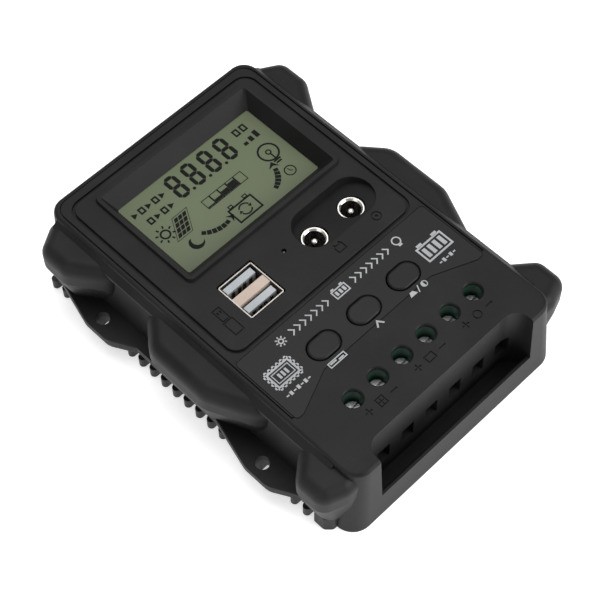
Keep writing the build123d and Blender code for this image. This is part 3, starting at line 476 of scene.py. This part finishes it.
# ---- boards ------------------------------------------------------------------------------------
# Two glass fibre boards under green solder resist, each held by small plated steel screws. Plating
# shows faint drawing lines.
def plated(name, base, roughness, streak, stretch=(1.0, 1.0, 1.0), depth=0.004):
    """A bare or plated metal whose roughness and tone vary along fine drawing lines."""
    finish, tree, shader = new_finish(name, base, roughness, metallic=1.0)
    darker = 0.86
    place = tree.nodes.new("ShaderNodeTexCoord")
    pull = tree.nodes.new("ShaderNodeMapping")
    fill(pull, {"Scale": stretch})
    lines = tree.nodes.new("ShaderNodeTexNoise")
    fill(lines, {"Scale": streak, "Detail": 4.0})
    rough = tree.nodes.new("ShaderNodeMapRange")
    fill(rough, {"To Min": roughness * 0.7, "To Max": roughness * 1.5})
    tone = tree.nodes.new("ShaderNodeMix")
    tone.data_type = "RGBA"
    fill(tone, {"A": (*[part * darker for part in base], 1.0), "B": (*base, 1.0)})
    bump = tree.nodes.new("ShaderNodeBump")
    fill(bump, {"Distance": depth * MM})
    tree.links.new(place.outputs["Object"], pull.inputs["Vector"])
    tree.links.new(pull.outputs["Vector"], lines.inputs["Vector"])
    tree.links.new(lines.outputs["Fac"], rough.inputs["Value"])
    tree.links.new(lines.outputs["Fac"], tone.inputs["Factor"])
    tree.links.new(rough.outputs["Result"], shader.inputs["Roughness"])
    tree.links.new(tone.outputs["Result"], shader.inputs["Base Color"])
    tree.links.new(lines.outputs["Fac"], bump.inputs["Height"])
    tree.links.new(bump.outputs["Normal"], shader.inputs["Normal"])
    return finish


resist = moulded("green solder resist", (0.012, 0.10, 0.035), (0.02, 0.15, 0.06), 0.3, grain=900.0)
dress(resist, "main_board", "display_board")
screw_steel = plated("nickel plated steel", (0.60, 0.60, 0.61), 0.28, 1600.0, depth=0.0012)
dress(screw_steel, "display_board_screws", "main_board_screws")

# ---- parts on the boards -------------------------------------------------------------------------
# Moulded chips and transistors, sleeved capacitors, a fired core wound with enamelled wire, a
# glazed resistor and a plug between the boards. They only show with the cover off.
epoxy = moulded("chip epoxy", (0.012, 0.012, 0.013), (0.022, 0.022, 0.022), 0.5)
dress(epoxy, "mosfets", "controller_chip", "driver_chips")
sleeve_blue = moulded("capacitor sleeve", (0.02, 0.03, 0.10), (0.03, 0.045, 0.14), 0.28, depth=0.006)
dress(sleeve_blue, "large_capacitors", "small_capacitors")
ferrite = moulded(
    "fired ferrite", (0.035, 0.035, 0.04), (0.06, 0.06, 0.065), 0.6, grain=1500.0, depth=0.04
)
dress(ferrite, "inductor_core")
copper = plated("enamelled copper wire", (0.72, 0.30, 0.12), 0.25, 900.0, (1.0, 1.0, 8.0))
dress(copper, "inductor_winding")
resistor_glaze = moulded("resistor glaze", (0.10, 0.22, 0.18), (0.15, 0.28, 0.23), 0.3, depth=0.01)
dress(resistor_glaze, "shunt_resistor")
dress(component_grey, "board_connector")

# ---- double USB socket ---------------------------------------------------------------------------
# A folded and plated shell round two pale glass-filled tongues that carry the contacts. A warm bar
# fills the space between the two ports.
folded_shell = plated("folded nickel silver", (0.40, 0.37, 0.345), 0.3, 900.0, (1.0, 1.0, 0.15))
dress(folded_shell, "usb_shell")
tongue_white = moulded("pale tongue plastic", (0.34, 0.37, 0.39), (0.45, 0.48, 0.50), 0.42, depth=0.01)
dress(tongue_white, "usb_insulator")
divider_warm = moulded("warm divider", (0.43, 0.34, 0.28), (0.52, 0.42, 0.35), 0.4, depth=0.01)
dress(divider_warm, "usb_divider")
contact_alloy = plated("dark contact alloy", (0.10, 0.085, 0.07), 0.35, 1200.0)
dress(contact_alloy, "usb_contacts")

# ---- barrel jacks and status lamp ----------------------------------------------------------------
# Dark moulded bodies with bright turned rings and centre pins, and beside the USB socket a small
# smoked lamp down its own hole.
dress(component_grey, "jack_housings")
bright_nickel = plated("bright nickel plate", (0.62, 0.60, 0.57), 0.2, 900.0, (1.0, 1.0, 0.15))
dress(bright_nickel, "jack_sleeves", "jack_pins")
smoked_lens = moulded("smoked led lens", (0.03, 0.008, 0.008), (0.04, 0.010, 0.010), 0.15, depth=0.0)
dress(smoked_lens, "status_led")

# ---- screw terminals -----------------------------------------------------------------------------
# A dark green polyamide block with six ways. In each a slotted steel screw raises a zinc plated
# cage, which presses the wire against a tinned contact.
TERMINALS = range(1, 7)
terminal_green = moulded("dark green polyamide", (0.016, 0.066, 0.038), (0.026, 0.09, 0.053), 0.36)
dress(terminal_green, "terminal_block")
dress(screw_steel, *[f"clamp_screw_{i}" for i in TERMINALS])
zinc = plated("zinc plated steel", (0.60, 0.60, 0.57), 0.34, 700.0)
dress(zinc, *[f"clamp_cage_{i}" for i in TERMINALS])
tinned = plated("tinned brass", (0.70, 0.66, 0.56), 0.3, 900.0)
dress(tinned, "terminal_contacts")

# ---- finned base -----------------------------------------------------------------------------------
# The back is a die casting with a thick black coat, a little rougher and greyer than the cover,
# with fins across it. The power transistors are clamped to it through a soft grey pad, and four
# screws hold it to the cover.
cast_black = moulded(
    "black coated casting", (0.009, 0.009, 0.0092), (0.018, 0.018, 0.018), 0.42,
    grain=1400.0, depth=0.05, gloss=0.25,
)
dress(cast_black, "finned_base")
silicone_grey = moulded("silicone pad", (0.33, 0.35, 0.39), (0.42, 0.44, 0.47), 0.7, depth=0.03)
dress(silicone_grey, "thermal_pad")
dress(zinc, "mosfet_clamp")
dress(screw_steel, "case_screws")

# ---- label -----------------------------------------------------------------------------------------
# A printed polyester film with a satin, slightly blue grey ground, stuck in a shallow recess of
# the cover. Its marks are pale screen print, and they are pictograms only, with no words.
label_film = moulded(
    "satin label film", (0.0068, 0.0068, 0.0078), (0.0095, 0.0095, 0.0108), 0.42,
    grain=5200.0, depth=0.006, mottle=35.0, gloss=0.22,
)
dress(label_film, "label_overlay")
LABEL_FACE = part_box("label_overlay")[1].z / MM
PRINT_THICKNESS = 0.03

print_white = moulded(
    "pale screen print", (0.40, 0.41, 0.42), (0.33, 0.34, 0.35), 0.5, grain=6000.0, depth=0.004, gloss=0.2
)
label_print = Pictogram("label_print")

# Title line: a sun, arrows, a battery, more arrows and a lamp.
TITLE_Y, TITLE_LINE = -17.2, 0.42
TITLE_END = 24.0
ARROWS, ARROW_STEP = 7, 2.3
DASH_STEP, DASH_WIDTH, DASH_LOW, DASH_RISE = 1.4, 0.95, 0.42, 0.9


def small_sun(mark, x, y, size, line):
    """A ring with rays, of which size is about the radius."""
    mark.ring(x, y, size * 0.42, line)
    reach = size * 0.82
    for i in range(SUN_RAYS):
        turn = 360 / SUN_RAYS * i
        ray_x = x + reach * math.cos(math.radians(turn))
        ray_y = y + reach * math.sin(math.radians(turn))
        mark.bar(ray_x, ray_y, size * 0.36, line, turn)


def small_battery(mark, x, y, width, height, line, cells):
    """A battery outline with two posts and a few filled cells."""
    mark.outline(x, y, width, height, line)
    for side in (-1, 1):
        mark.bar(x + side * width * 0.3, y + height / 2 + line * 0.6, width * 0.2, line * 1.6)
    step = (width - 3 * line) / cells
    for i in range(cells):
        mark.bar(x - width / 2 + 1.5 * line + step * (i + 0.5), y, step * 0.62, height - 4 * line)


def arrow_row(mark, left, y, line):
    """A row of open arrowheads that point right."""
    for i in range(ARROWS):
        x = left + i * ARROW_STEP
        mark.stroke([(x - 0.6, y + 1.3), (x + 0.7, y), (x - 0.6, y - 1.3)], line)


def dash_row(mark, middle, y, count):
    """A row of dashes, every second one taller, standing where small words would be."""
    for i in range(count):
        x = middle + (i - (count - 1) / 2) * DASH_STEP
        mark.bar(x, y, DASH_WIDTH, DASH_LOW + DASH_RISE * (i % 2))


small_sun(label_print, -24.2, TITLE_Y, 1.75, TITLE_LINE)
arrow_row(label_print, -19.6, TITLE_Y, TITLE_LINE)
small_battery(label_print, 0.0, TITLE_Y - 0.2, 5.6, 3.2, TITLE_LINE, 3)
arrow_row(label_print, 5.6, TITLE_Y, TITLE_LINE)
label_print.ring(TITLE_END, TITLE_Y + 0.35, 1.35, TITLE_LINE)
label_print.bar(TITLE_END, TITLE_Y - 1.45, 1.3, 0.7)

# Chip badge at the left: a square body with scalloped pins round it.
CHIP = (-31.1, -25.1)
CHIP_WIDTH, CHIP_HEIGHT = 9.4, 6.6
CHIP_INSET = 2.9
PIN_STEP, PIN_OUT, PIN_RADIUS = 1.55, 0.1, 0.5
label_print.outline(*CHIP, CHIP_WIDTH, CHIP_HEIGHT, 0.95)
label_print.outline(*CHIP, CHIP_WIDTH - CHIP_INSET, CHIP_HEIGHT - CHIP_INSET, 0.3)
for i in range(6):
    pin_x = CHIP[0] + (i - 2.5) * PIN_STEP
    for side in (-1, 1):
        label_print.disc(pin_x, CHIP[1] + side * (CHIP_HEIGHT / 2 + PIN_OUT), PIN_RADIUS, steps=14)
for i in range(4):
    pin_y = CHIP[1] + (i - 1.5) * PIN_STEP
    for side in (-1, 1):
        label_print.disc(CHIP[0] + side * (CHIP_WIDTH / 2 + PIN_OUT), pin_y, PIN_RADIUS, steps=14)
for i in range(3):
    label_print.bar(CHIP[0] + (i - 1) * 1.35, CHIP[1], 0.8, 1.9)
dash_row(label_print, CHIP[0], -31.3, 7)

# Battery badge at the right.
BATTERY = (30.6, -26.2)
small_battery(label_print, *BATTERY, 10.4, 6.0, 0.62, 4)
dash_row(label_print, BATTERY[0], -31.4, 5)

# Pictograms under the keys: a page, a pointer, and a lampshade and half moon with a slash between.
MARK_Y = -32.9
label_print.outline(-17.2, MARK_Y, 6.6, 1.9, 0.36)
label_print.bar(-18.6, MARK_Y + 0.2, 2.4, 0.5)
label_print.bar(-15.8, MARK_Y - 0.2, 2.0, 0.5)
label_print.stroke([(-1.4, MARK_Y - 0.9), (-0.1, MARK_Y + 0.9), (1.2, MARK_Y - 0.9)], 0.55)
label_print.polygon([
    (12.6, MARK_Y - 0.8), (15.4, MARK_Y - 0.8), (14.6, MARK_Y + 0.7), (13.4, MARK_Y + 0.7),
])
label_print.stroke([(15.9, MARK_Y - 1.1), (17.0, MARK_Y + 1.1)], 0.36)
HALF_MOON_X = 18.9
label_print.ring(HALF_MOON_X, MARK_Y, 0.95, 0.3)
label_print.polygon(round_path(HALF_MOON_X, MARK_Y, 0.8, 90, 270, 12))

label_print.print_on(LABEL_FACE, PRINT_THICKNESS, print_white, "housing")

# ---- bench, lights and camera ------------------------------------------------------------------------
# A pale, faintly glowing bench with a strong soft light over the wiring end, a weaker one overhead
# and a faint fill from the left. The camera looks down on the terminal end from the left.
BENCH_REACH = 3.0
BENCH_TOP = -0.05 * MM  # just clear of the fins
bench_pale, bench_tree, bench_shader = new_finish("pale bench", (0.95, 0.95, 0.955), 0.9)
fill(bench_shader, {
    "Specular IOR Level": 0.1, "Emission Color": (1.0, 1.0, 1.0, 1.0), "Emission Strength": 0.5,
})
bench_corners = [
    (side_x * BENCH_REACH, side_y * BENCH_REACH, BENCH_TOP)
    for side_x, side_y in ((-1, -1), (1, -1), (1, 1), (-1, 1))
]
bench_mesh = bpy.data.meshes.new("bench")
bench_mesh.from_pydata(bench_corners, [], [(0, 1, 2, 3)])
bench_mesh.materials.append(bench_pale)
bench = bpy.data.objects.new("bench", bench_mesh)
bpy.context.scene.collection.objects.link(bench)


def soft_light(name, place, size, power):
    """A square area light at place, turned to the middle of the bench."""
    lamp = bpy.data.lights.new(name, "AREA")
    lamp.shape = "SQUARE"
    lamp.size = size
    lamp.energy = power
    stand = bpy.data.objects.new(name, lamp)
    bpy.context.scene.collection.objects.link(stand)
    facing = (-Vector(place)).to_track_quat("-Z", "Y").to_matrix().to_4x4()
    stand.matrix_world = Matrix.Translation(place) @ facing


soft_light("wiring end softbox", (0.45, -0.85, 0.55), 0.7, 9.0)
soft_light("overhead softbox", (0.15, 0.25, 1.1), 0.9, 6.0)
soft_light("left fill", (-0.9, -0.1, 0.5), 0.6, 1.6)

world = bpy.data.worlds.new("studio")
bpy.context.scene.world = world
world.use_nodes = True
fill(world.node_tree.nodes["Background"], {"Color": (1.0, 1.0, 1.0, 1.0), "Strength": 0.45})

AZIMUTH, ELEVATION, ROLL = math.radians(-44.25), math.radians(57.86), math.radians(-0.87)
DISTANCE = 0.5007
AIM = Vector((-0.0105, -0.0112, 0.030))
LENS = 103.8
back = Vector((
    math.sin(AZIMUTH) * math.cos(ELEVATION),
    -math.cos(AZIMUTH) * math.cos(ELEVATION),
    math.sin(ELEVATION),
))
level = (-back).cross(Vector((0, 0, 1))).normalized()
upright = level.cross(-back)
right = math.cos(ROLL) * level + math.sin(ROLL) * upright
up = -math.sin(ROLL) * level + math.cos(ROLL) * upright
camera_data = bpy.data.cameras.new("camera")
camera_data.sensor_width = 36.0
camera_data.lens = LENS
camera_data.clip_start = 0.01
camera = bpy.data.objects.new("camera", camera_data)
bpy.context.scene.collection.objects.link(camera)
turned = Matrix((right, up, back)).transposed().to_4x4()
camera.matrix_world = Matrix.Translation(AIM + back * DISTANCE) @ turned
bpy.context.scene.camera = camera
bpy.context.scene.view_settings.view_transform = "Standard"
